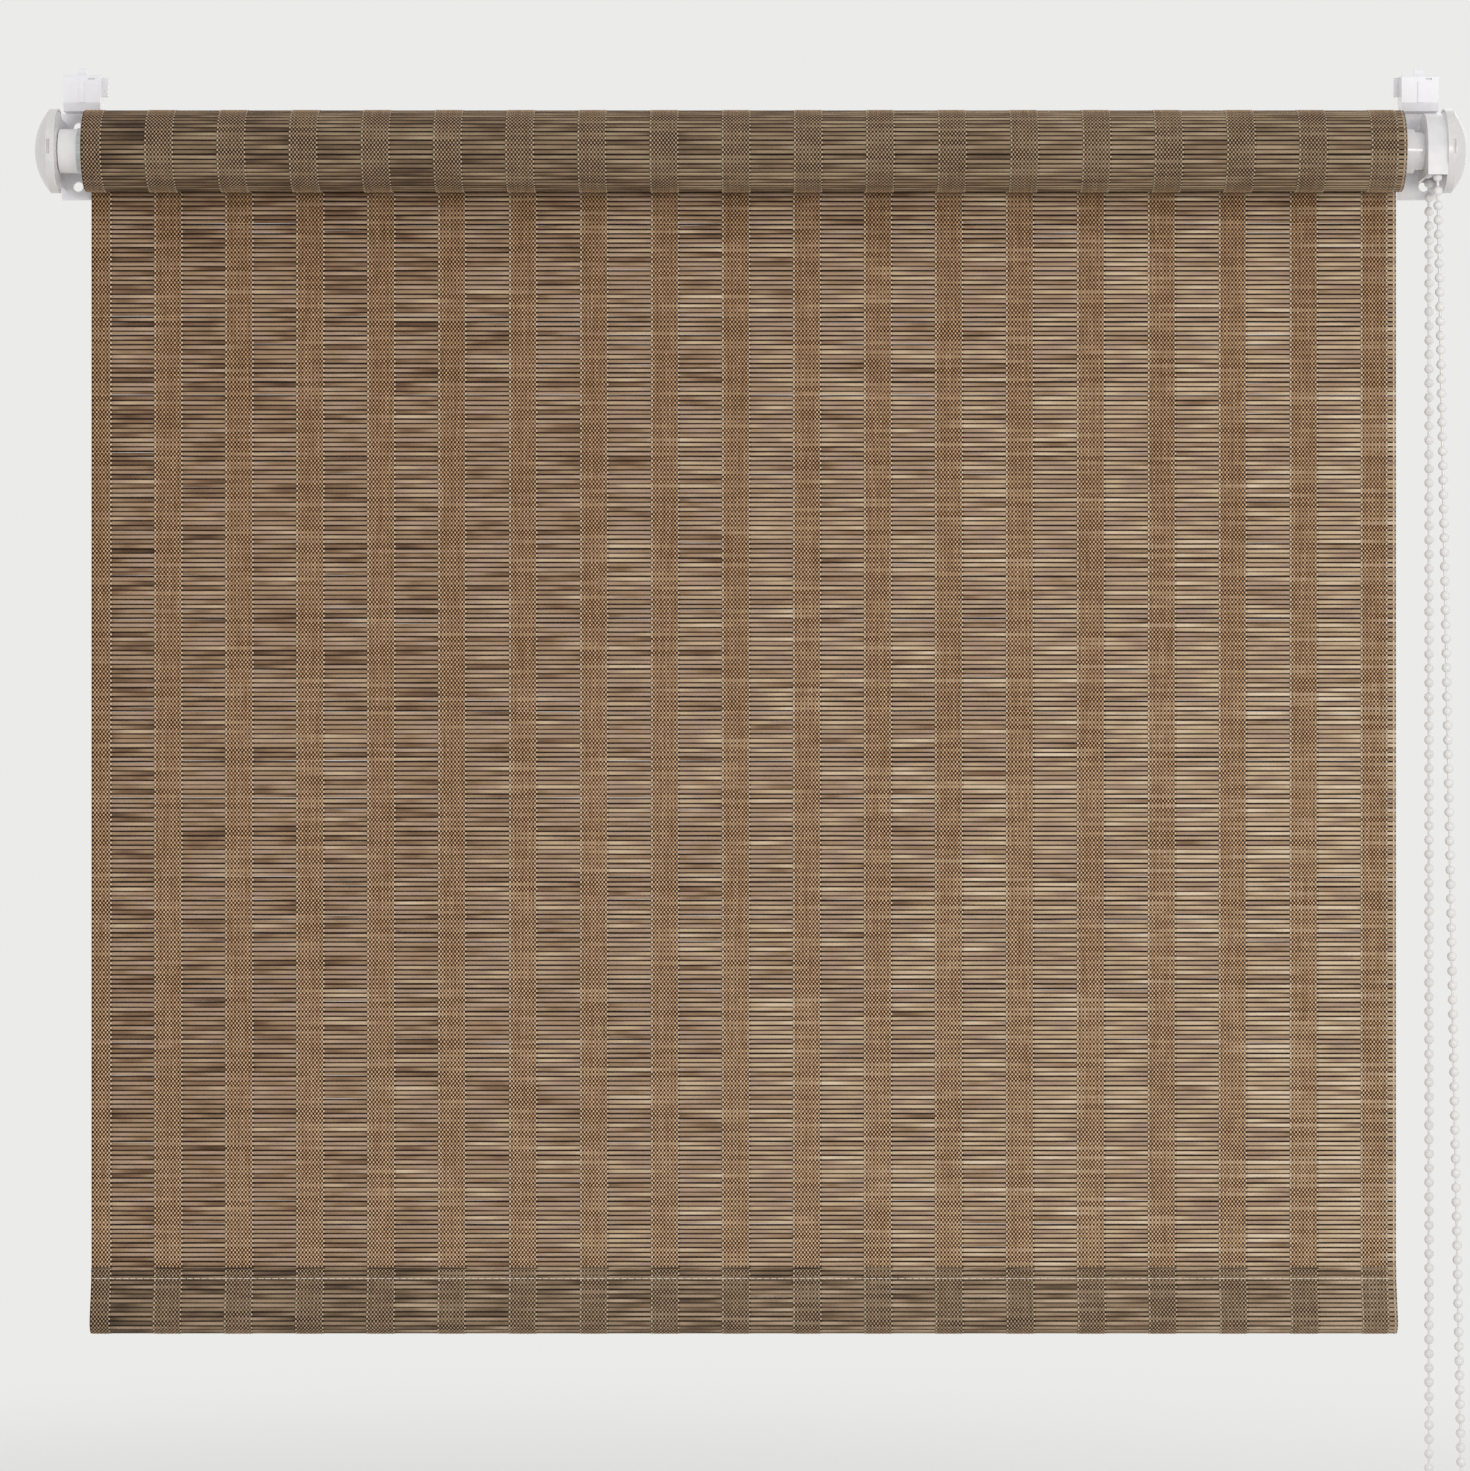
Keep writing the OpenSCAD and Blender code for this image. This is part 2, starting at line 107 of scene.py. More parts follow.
# places taken from the CAD part
rollLow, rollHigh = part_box("cloth_roll")
dropLow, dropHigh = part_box("drop_cloth")
hemLow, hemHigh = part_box("hem_pocket")
clothLeft, clothWidth = dropLow.x, dropHigh.x - dropLow.x
axisY, axisZ = (rollLow.y + rollHigh.y) / 2, (rollLow.z + rollHigh.z) / 2
rollRadius = (rollHigh.z - rollLow.z) / 2
dropY = (dropLow.y + dropHigh.y) / 2
print("camera and CAD places ready")

# the weave, in metres: flat reeds and thin threads by turns, bound by warp ends in the plain bands
weave = {
    "pitch": 0.00195, "reedPlace": 0.25, "threadPlace": 0.75, "acrossFlats": 1.414,
    "reedWidth": 0.00132, "reedThick": 0.0003, "reedRings": 44, "reedSwell": (0.9, 1.13), "reedNudge": 0.0001,
    "threadWidth": 0.00086, "threadThick": 0.0003, "threadRings": 26, "threadSwell": (0.92, 1.25),
    "threadNudge": 0.00004, "wander": 0.0004, "wanderLength": 1 / 26, "wanderJump": 3.7,
    "repeat": 0.02992, "openBand": 0.01785, "leftMargin": 0.00865, "rightMargin": 0.004, "fringe": 0.0036,
    "endsPerRepeat": 40, "warpWidth": 0.00064, "warpLift": 0.0003, "warpHeight": 0.00006,
    "overEnd": 0.2, "underEnd": 0.7, "endTail": 0.3, "lastEnd": 0.85, "stripFill": 0.8}
bandRoom = clothWidth - weave["leftMargin"] - weave["openBand"] - weave["rightMargin"]
bandCount = math.floor(bandRoom / weave["repeat"]) + 1
lastBand = weave["leftMargin"] + (bandCount - 1) * weave["repeat"] + weave["openBand"]


# materials
def newMaterial(name):
    material = bpy.data.materials.new(name)
    material.use_nodes = True
    tree = material.node_tree
    return material, tree, tree.nodes["Principled BSDF"]


yarnLook = {
    "jump": 7.31, "bandLead": 4, "bandEnd": 0.001, "bandBlur": 0.012,
    "darkRow": (0.36, 0.93), "paleRow": (0.64, 0.57),  # value of the dye, and the share there
    "fibre": 1 / 260, "bump": 0.25, "bumpDepth": 0.00008,  # tufts of fibre about 3.8 mm long
    "rough": (0.62, 0.9), "gloss": 0.25}


def bindShadeShare(tree, across, dye):  # painted shade on bound rows, none in the open bands nor the fringe
    openShare = weave["openBand"] / weave["repeat"]
    shift = yarnLook["bandLead"] - (clothLeft + weave["leftMargin"]) / weave["repeat"]
    lastPhase = bandCount + yarnLook["bandLead"] - yarnLook["bandEnd"]
    band = addNode(tree, "ShaderNodeMath", across, 1 / weave["repeat"], shift, operation="MULTIPLY_ADD")
    band = addNode(tree, "ShaderNodeMath", band, lastPhase, operation="MINIMUM")
    band = addNode(tree, "ShaderNodeMath", band, operation="FRACT")
    # pale rows take less of the painted shade than dark ones
    most = addNode(tree, "ShaderNodeMapRange", {
        "Value": dye, "From Min": yarnLook["darkRow"][0], "From Max": yarnLook["paleRow"][0],
        "To Min": yarnLook["darkRow"][1], "To Max": yarnLook["paleRow"][1]})
    share = addNode(tree, "ShaderNodeMapRange", {
        "Value": band, "From Min": openShare - yarnLook["bandBlur"],
        "From Max": openShare + yarnLook["bandBlur"], "To Max": most})
    fringeX = clothLeft + clothWidth - weave["fringe"]
    inner = addNode(tree, "ShaderNodeMath", across, fringeX, operation="LESS_THAN")
    return addNode(tree, "ShaderNodeMath", share, inner, operation="MULTIPLY")


def yarnMaterial(name, stops, bindShadeAndEdgeColor, isWarp=False, streak=0.04, paintedLightDrift=(0, 0)):
    # paper-and-viscose yarn, space dyed before weaving: matt, in long streaks of tan and brown;
    # rows are darkened by painted shade where ends bind them, and the ends beside an open band are paler;
    # painted light can make the tone paler along the yarn and from row to row
    material, tree, shader = newMaterial(name)
    place = addNode(tree, "ShaderNodeAttribute", attribute_name="yarn")
    run, row, kind = addNode(tree, "ShaderNodeSeparateXYZ", place.outputs["Vector"]).outputs
    along = addNode(tree, "ShaderNodeMath", run, 1 / streak, operation="MULTIPLY")
    pick = addNode(tree, "ShaderNodeMath", row, yarnLook["jump"], operation="MULTIPLY")
    streaks = addNode(tree, "ShaderNodeCombineXYZ", along, pick, kind)
    dye = addNode(tree, "ShaderNodeTexNoise", {
        "Vector": streaks, "Scale": 1.0, "Detail": 2.0, "Roughness": 0.6}).outputs[0]
    # painted light: the tone grows paler along the yarn and from row to row, where light comes through
    tone = addNode(tree, "ShaderNodeMath", run, paintedLightDrift[0], dye, operation="MULTIPLY_ADD")
    tone = addNode(tree, "ShaderNodeMath", row, paintedLightDrift[1], tone, operation="MULTIPLY_ADD")
    ramp = addNode(tree, "ShaderNodeValToRGB", tone, stops=stops)
    if isWarp:
        share = addNode(tree, "ShaderNodeAttribute", attribute_name="edge").outputs["Fac"]
    else:
        share = bindShadeShare(tree, run, dye)
    # painted shade on rows where ends bind them; on warp ends, a paler tone beside an open band
    shadeAndEdgeMix = addNode(tree, "ShaderNodeMix", {
        "Factor": share, "A": ramp, "B": linearColor(bindShadeAndEdgeColor)}, data_type="RGBA")
    fibre = addNode(tree, "ShaderNodeMath", run, 1 / yarnLook["fibre"], operation="MULTIPLY")
    fibre = addNode(tree, "ShaderNodeCombineXYZ", fibre, pick)
    fuzz = addNode(tree, "ShaderNodeTexNoise", {"Vector": fibre, "Scale": 1.0, "Detail": 1.0}).outputs[0]
    rough = addNode(tree, "ShaderNodeMapRange", {
        "Value": fuzz, "To Min": yarnLook["rough"][0], "To Max": yarnLook["rough"][1]})
    bump = addNode(tree, "ShaderNodeBump", {
        "Strength": yarnLook["bump"], "Distance": yarnLook["bumpDepth"], "Height": fuzz})
    color = [o for o in shadeAndEdgeMix.outputs if o.enabled][0]
    tree.links.new(color, shader.inputs["Base Color"])
    tree.links.new(rough.outputs[0], shader.inputs["Roughness"])
    tree.links.new(bump.outputs[0], shader.inputs["Normal"])
    shader.inputs["Specular IOR Level"].default_value = yarnLook["gloss"]
    return material


plasticLook = {"shadeAt": 0.3, "colorAt": 0.7, "detail": 3.0, "ior": 1.53}


def plasticMaterial(name, color, shade, roughLow, roughHigh, grit=0.004):
    # injection-moulded ABS: even white, satin, with a faint cloudiness from the mould
    material, tree, shader = newMaterial(name)
    place = addNode(tree, "ShaderNodeTexCoord").outputs["Object"]
    cloud = addNode(tree, "ShaderNodeTexNoise", {
        "Vector": place, "Scale": 1 / grit, "Detail": plasticLook["detail"]}).outputs[0]
    stops = [(plasticLook["shadeAt"], shade), (plasticLook["colorAt"], color)]
    ramp = addNode(tree, "ShaderNodeValToRGB", cloud, stops=stops)
    rough = addNode(tree, "ShaderNodeMapRange", {"Value": cloud, "To Min": roughLow, "To Max": roughHigh})
    tree.links.new(ramp.outputs[0], shader.inputs["Base Color"])
    tree.links.new(rough.outputs[0], shader.inputs["Roughness"])
    shader.inputs["IOR"].default_value = plasticLook["ior"]
    return material


metalLook = {"shadeAt": 0.3, "colorAt": 0.7, "detail": 2.0, "lineLength": 0.25, "spread": 0.08}


def metalMaterial(name, color, shade, rough, grain):
    # drawn metal: fine lines along the draw, soft gloss
    material, tree, shader = newMaterial(name)
    place = addNode(tree, "ShaderNodeTexCoord").outputs["Object"]
    lines = addNode(tree, "ShaderNodeMapping", {
        "Vector": place, "Scale": (1 / metalLook["lineLength"], 1 / grain, 1 / grain)})
    noise = addNode(tree, "ShaderNodeTexNoise", {
        "Vector": lines, "Scale": 1.0, "Detail": metalLook["detail"]}).outputs[0]
    stops = [(metalLook["shadeAt"], shade), (metalLook["colorAt"], color)]
    ramp = addNode(tree, "ShaderNodeValToRGB", noise, stops=stops)
    gloss = addNode(tree, "ShaderNodeMapRange", {
        "Value": noise, "To Min": rough - metalLook["spread"], "To Max": rough + metalLook["spread"]})
    tree.links.new(ramp.outputs[0], shader.inputs["Base Color"])
    tree.links.new(gloss.outputs[0], shader.inputs["Roughness"])
    shader.inputs["Metallic"].default_value = 1.0
    return material


spunLook = {
    "speck": 1 / 1100, "detail": 2.0, "shadeAt": 0.35, "colorAt": 0.65,  # flecks of about 0.9 mm
    "bump": 0.3, "bumpDepth": 0.0002, "rough": 0.85, "gloss": 0.2}


def spunMaterial(name, color, shade):
    # spun fibre seen as a mass, on a cut edge or a sewing thread: matt, with a fine fleck
    material, tree, shader = newMaterial(name)
    place = addNode(tree, "ShaderNodeTexCoord").outputs["Object"]
    fleck = addNode(tree, "ShaderNodeTexNoise", {
        "Vector": place, "Scale": 1 / spunLook["speck"], "Detail": spunLook["detail"]}).outputs[0]
    stops = [(spunLook["shadeAt"], shade), (spunLook["colorAt"], color)]
    ramp = addNode(tree, "ShaderNodeValToRGB", fleck, stops=stops)
    bump = addNode(tree, "ShaderNodeBump", {
        "Strength": spunLook["bump"], "Distance": spunLook["bumpDepth"], "Height": fleck})
    tree.links.new(ramp.outputs[0], shader.inputs["Base Color"])
    tree.links.new(bump.outputs[0], shader.inputs["Normal"])
    shader.inputs["Roughness"].default_value = spunLook["rough"]
    shader.inputs["Specular IOR Level"].default_value = spunLook["gloss"]
    return material


# hanging cloth: warm tan and brown with near-black threads; painted light from behind makes it
# warmer than the roll and hem, and paler to the right and towards its foot
reedStops = [(0.17, "#4a3423"), (0.36, "#866951"), (0.45, "#a2866a"),
             (0.54, "#aa8f7b"), (0.63, "#bda384"), (0.8, "#dac5ab")]
threadStops = [(0.2, "#120904"), (0.5, "#27170b"), (0.85, "#5c432e")]
warpStops = [(0.36, "#ae8760"), (0.56, "#c3986f"), (0.86, "#deb78f")]
dropYarns = {
    "reed": yarnMaterial("paperReedSpaceDyed", reedStops, "#322115", paintedLightDrift=(0.38, 0.00027)),
    "thread": yarnMaterial("viscoseThreadDarkBrown", threadStops, "#1c0f06", streak=0.06),
    "warp": yarnMaterial("polyesterWarpTan", warpStops, "#dcc5a7", True, streak=0.02, paintedLightDrift=(0.6, 0))}
# rolled cloth: its other face, duller and with no light from behind
rollReedStops = [(0.25, "#4d3c2d"), (0.38, "#6f5a45"), (0.50, "#8a745c"), (0.65, "#a59076")]
rollThreadStops = [(0.3, "#0f0905"), (0.5, "#20150c"), (0.72, "#463525")]
rollWarpStops = [(0.3, "#9d8165"), (0.5, "#ab8e71"), (0.72, "#b99d81")]
rollYarns = {
    "reed": yarnMaterial("paperReedShaded", rollReedStops, "#18110b", paintedLightDrift=(0.28, 0)),
    "thread": yarnMaterial("viscoseThreadShaded", rollThreadStops, "#1c120a", streak=0.06),
    "warp": yarnMaterial("polyesterWarpShaded", rollWarpStops, "#c2ae92", True, streak=0.02)}
# hem: folded double round the bar, so no light comes through it;
# painted shade makes it greyer than the hanging cloth
hemReedStops = [(0.27, "#544436"), (0.40, "#7d6852"), (0.52, "#9e876f"), (0.67, "#baa48b")]
hemThreadStops = [(0.3, "#1d130b"), (0.5, "#34261a"), (0.72, "#68533f")]
hemWarpStops = [(0.3, "#9e8367"), (0.5, "#ad9174"), (0.72, "#bca286")]
hemYarns = {
    "reed": yarnMaterial("paperReedDoubledShaded", hemReedStops, "#281e16", paintedLightDrift=(0.3, 0)),
    "thread": yarnMaterial("viscoseThreadDoubledShaded", hemThreadStops, "#1f140b", streak=0.06, paintedLightDrift=(0.2, 0)),
    "warp": yarnMaterial("polyesterWarpDoubledShaded", hemWarpStops, "#c8b498", True, streak=0.02)}
# brown cut edges of the inner turns, and a pale thread that shows as a thin dashed line
woundCloth = spunMaterial("wovenClothCutEdge", "#8a725a", "#4e3b2a")
seamThread = spunMaterial("polyesterSewingThread", "#f1e9dc", "#e0d5c5")
# mouldings, all one white plastic: cool satin brackets; inner parts painted whiter as painted light,
# as they sit in shade; caps and housing painted greyer as painted shade, and glossier; a bright core
bracketPlastic = plasticMaterial("absMouldedWhiteBracket", "#efeef2", "#eae9ed", 0.34, 0.46)
# painted light: whiter than the brackets, against the shade these small parts sit in
whitePlasticPaintedLit = plasticMaterial("absMouldedWhite", "#f7f6f7", "#f3f2f3", 0.34, 0.46)
# painted shade: caps and housing greyer than the other white mouldings
capPlasticPaintedShade = plasticMaterial("absMouldedWhiteCap", "#dad8d8", "#d3d1d1", 0.22, 0.3)
housingPlasticPaintedShade = plasticMaterial("absMouldedWhiteGloss", "#dfdee0", "#d9d8da", 0.14, 0.2)
corePlastic = plasticMaterial("absTurnedWhiteGloss", "#f0eff1", "#ebeaec", 0.15, 0.22)
# glossy white beads, and lacquer and film that are a little warmer and duller
beadPlastic = plasticMaterial("acetalBeadWhite", "#e6e5e4", "#dddcdb", 0.2, 0.3, grit=0.006)
hookLacquer = plasticMaterial("steelStripWhiteLacquer", "#e4e3e0", "#dcdbd8", 0.28, 0.4, grit=0.002)
tapeFilm = plasticMaterial("tapeFilmCream", "#d9d2bd", "#cfc7b0", 0.4, 0.5)
# bare metal that is mostly hidden: mid grey steel, paler aluminium
drawnSteel = metalMaterial("steelWireDrawn", "#b4b7bb", "#8f9296", 0.32, 0.0004)
drawnAluminium = metalMaterial("aluminiumDrawn", "#c9cbcd", "#aeb1b4", 0.36, 0.0006)
print("materials ready")


# geometry-node trees
def newTree(name, inputs):
    tree = bpy.data.node_groups.new(name, "GeometryNodeTree")
    kinds = {float: "NodeSocketFloat", int: "NodeSocketInt", str: "NodeSocketMaterial"}
    tree.interface.new_socket("Geometry", in_out="INPUT", socket_type="NodeSocketGeometry")
    for label, kind in inputs:
        tree.interface.new_socket(label, in_out="INPUT", socket_type=kinds[kind])
    tree.interface.new_socket("Geometry", in_out="OUTPUT", socket_type="NodeSocketGeometry")
    start = tree.nodes.new("NodeGroupInput").outputs
    end = tree.nodes.new("NodeGroupOutput")
    return tree, start, end


def closeTree(tree, geometry, finish, end):  # smooth faces, one finish, and out
    smooth = addNode(tree, "GeometryNodeSetShadeSmooth", {"Geometry": geometry})
    done = addNode(tree, "GeometryNodeSetMaterial", {"Geometry": smooth, "Material": finish})
    tree.links.new(done.outputs[0], end.inputs[0])
    return tree


def lineObject(name, points, closed=False):  # a bare line that a tree works on
    edges = [(k, k + 1) for k in range(len(points) - 1)]
    return newObject(name, points, edges + ([(len(points) - 1, 0)] if closed else []), [])


def growMesh(obj, tree, values):  # a plain mesh from the tree
    modifier = obj.modifiers.new("rule", "NODES")
    modifier.node_group = tree
    for item in tree.interface.items_tree:
        if item.in_out == "INPUT" and item.name in values:
            modifier[item.identifier] = values[item.name]
    graph = bpy.context.evaluated_depsgraph_get()
    grown = obj.evaluated_get(graph)
    mesh = bpy.data.meshes.new_from_object(grown, preserve_all_data_layers=True, depsgraph=graph)
    obj.modifiers.clear()
    old = obj.data
    obj.data = mesh
    bpy.data.meshes.remove(old)
    mesh.name = obj.name
    if mesh.materials[0] is None:
        mesh.materials.pop(index=0)  # the bare line had no finish of its own
    return obj


def growOnPath(name, points, tree, values, closed=False):  # the same, on a path in Y and Z
    return growMesh(lineObject(name, [(0, y, z) for y, z in points], closed), tree, values)


def joinPieces(name, objs):
    with bpy.context.temp_override(active_object=objs[0], selected_editable_objects=objs):
        bpy.ops.object.join()
    objs[0].name = name
    objs[0].data.name = name
    return objs[0]


def wrapOnPath(tree, flat, line):  # moves a flat weave (x, run, height) onto the path
    path = addNode(tree, "GeometryNodeMeshToCurve", line)
    place = addNode(tree, "GeometryNodeInputPosition")
    x, run, height = addNode(tree, "ShaderNodeSeparateXYZ", place).outputs
    on = addNode(tree, "GeometryNodeSampleCurve", {"Curves": path, "Length": run}, mode="LENGTH").outputs
    out = addNode(tree, "ShaderNodeVectorMath", on["Tangent"], (1, 0, 0), operation="CROSS_PRODUCT")
    lift = addNode(tree, "ShaderNodeVectorMath", {0: out, "Scale": height}, operation="SCALE")
    across = addNode(tree, "ShaderNodeCombineXYZ", x)
    spot = addNode(tree, "ShaderNodeVectorMath", on["Position"], lift, operation="ADD")
    spot = addNode(tree, "ShaderNodeVectorMath", spot, across, operation="ADD")
    laid = addNode(tree, "GeometryNodeSetPosition", {"Geometry": flat, "Position": spot})
    # the wrap mirrors the weave, so its faces are turned back
    return addNode(tree, "GeometryNodeFlipFaces", {"Mesh": laid})


def layStrips(tree, flat, across, along):  # each yarn has its own strip of the map that a bake fills
    spot = addNode(tree, "ShaderNodeCombineXYZ", across, along)
    return addNode(tree, "GeometryNodeStoreNamedAttribute", {
        "Geometry": flat, "Name": "OFBake", "Value": spot}, data_type="FLOAT2", domain="CORNER")


def stripPlace(tree, pick, kind, off, width, count):  # where a face lies across its yarn's strip
    part = addNode(tree, "ShaderNodeMath", off, width, operation="DIVIDE")
    part = addNode(tree, "ShaderNodeMath", part, weave["stripFill"], 0.5, operation="MULTIPLY_ADD")
    strip = addNode(tree, "ShaderNodeMath", pick, 2.0, kind, operation="MULTIPLY_ADD")
    strip = addNode(tree, "ShaderNodeMath", strip, part, operation="ADD")
    strip = addNode(tree, "ShaderNodeMath", strip, count, operation="DIVIDE")
    return addNode(tree, "ShaderNodeMath", strip, 0.5, operation="MULTIPLY")


def weftTree():  # rows of yarn that run across the cloth
    tree, size, end = newTree("weftRows", [
        ("Rows", int), ("Pitch", float), ("Row Place", float), ("Left", float), ("Width", float),
        ("Rings", int), ("Turn", float), ("Yarn Width", float), ("Yarn Thickness", float),
        ("Swell Low", float), ("Swell High", float), ("Nudge", float), ("Wander", float),
        ("Kind", int), ("Seed", int), ("Material", str)])
    bar = addNode(tree, "GeometryNodeMeshCylinder", {
        "Vertices": 4, "Side Segments": size["Rings"], "Radius": 0.5, "Depth": 1.0})
    laid = addNode(tree, "GeometryNodeTransform", {
        "Geometry": bar.outputs["Mesh"], "Rotation": (0, math.pi / 2, 0)})
    laid = addNode(tree, "GeometryNodeTransform", {
        "Geometry": laid, "Rotation": addNode(tree, "ShaderNodeCombineXYZ", size["Turn"])})
    shape = addNode(tree, "ShaderNodeCombineXYZ", size["Width"], size["Yarn Width"], size["Yarn Thickness"])
    middle = addNode(tree, "ShaderNodeMath", size["Width"], 0.5, size["Left"], operation="MULTIPLY_ADD")
    yarn = addNode(tree, "GeometryNodeTransform", {
        "Geometry": laid, "Scale": shape, "Translation": addNode(tree, "ShaderNodeCombineXYZ", middle)})
    first = addNode(tree, "ShaderNodeMath", size["Pitch"], size["Row Place"], operation="MULTIPLY")
    rows = addNode(tree, "GeometryNodeMeshLine", {
        "Count": size["Rows"], "Start Location": addNode(tree, "ShaderNodeCombineXYZ", 0, first),
        "Offset": addNode(tree, "ShaderNodeCombineXYZ", 0, size["Pitch"])}, mode="OFFSET")
    index = addNode(tree, "GeometryNodeInputIndex")
    marked = addNode(tree, "GeometryNodeStoreNamedAttribute", {
        "Geometry": rows, "Name": "pick", "Value": index}, data_type="FLOAT")
    copies = addNode(tree, "GeometryNodeInstanceOnPoints", {"Points": marked, "Instance": yarn})
    flat = addNode(tree, "GeometryNodeRealizeInstances", copies)
    pick = addNode(tree, "GeometryNodeInputNamedAttribute", "pick", data_type="FLOAT")
    rowId = addNode(tree, "ShaderNodeMath", pick, size["Seed"], operation="ADD")
    place = addNode(tree, "GeometryNodeInputPosition")
    x, y, z = addNode(tree, "ShaderNodeSeparateXYZ", place).outputs
    marker = addNode(tree, "ShaderNodeCombineXYZ", x, rowId, size["Kind"])
    flat = addNode(tree, "GeometryNodeStoreNamedAttribute", {
        "Geometry": flat, "Name": "yarn", "Value": marker}, data_type="FLOAT_VECTOR")
    rowY = addNode(tree, "ShaderNodeMath", pick, size["Row Place"], operation="ADD")
    rowY = addNode(tree, "ShaderNodeMath", rowY, size["Pitch"], operation="MULTIPLY")
    off = addNode(tree, "ShaderNodeMath", y, rowY, operation="SUBTRACT")
    across = addNode(tree, "ShaderNodeMath", x, size["Left"], operation="SUBTRACT")
    across = addNode(tree, "ShaderNodeMath", across, size["Width"], operation="DIVIDE")
    strip = stripPlace(tree, pick, size["Kind"], off, size["Yarn Width"], size["Rows"])
    flat = layStrips(tree, flat, across, strip)
    # each row swells and thins, and wanders a little between its neighbours
    waveX = addNode(tree, "ShaderNodeMath", x, 1 / weave["wanderLength"], operation="MULTIPLY")
    waveY = addNode(tree, "ShaderNodeMath", rowId, weave["wanderJump"], operation="MULTIPLY")
    wave = addNode(tree, "ShaderNodeCombineXYZ", waveX, waveY, size["Kind"])
    noise = addNode(tree, "ShaderNodeTexNoise", {"Vector": wave, "Scale": 1.0, "Detail": 1.0})
    sway = addNode(tree, "ShaderNodeMath", noise.outputs[0], 0.5, operation="SUBTRACT")
    rowNumber = addNode(tree, "FunctionNodeFloatToInt", rowId)
    swell = addNode(tree, "FunctionNodeRandomValue", {
        2: size["Swell Low"], 3: size["Swell High"], "ID": rowNumber, "Seed": size["Seed"]},
        data_type="FLOAT")
    nudge = addNode(tree, "FunctionNodeRandomValue", {
        2: -1.0, 3: 1.0, "ID": rowNumber, "Seed": size["Kind"]}, data_type="FLOAT")
    newY = addNode(tree, "ShaderNodeMath", off, swell.outputs[1], rowY, operation="MULTIPLY_ADD")
    newY = addNode(tree, "ShaderNodeMath", nudge.outputs[1], size["Nudge"], newY, operation="MULTIPLY_ADD")
    newY = addNode(tree, "ShaderNodeMath", sway, size["Wander"], newY, operation="MULTIPLY_ADD")
    flat = addNode(tree, "GeometryNodeSetPosition", {
        "Geometry": flat, "Position": addNode(tree, "ShaderNodeCombineXYZ", x, newY, z)})
    return closeTree(tree, wrapOnPath(tree, flat, size["Geometry"]), size["Material"], end)


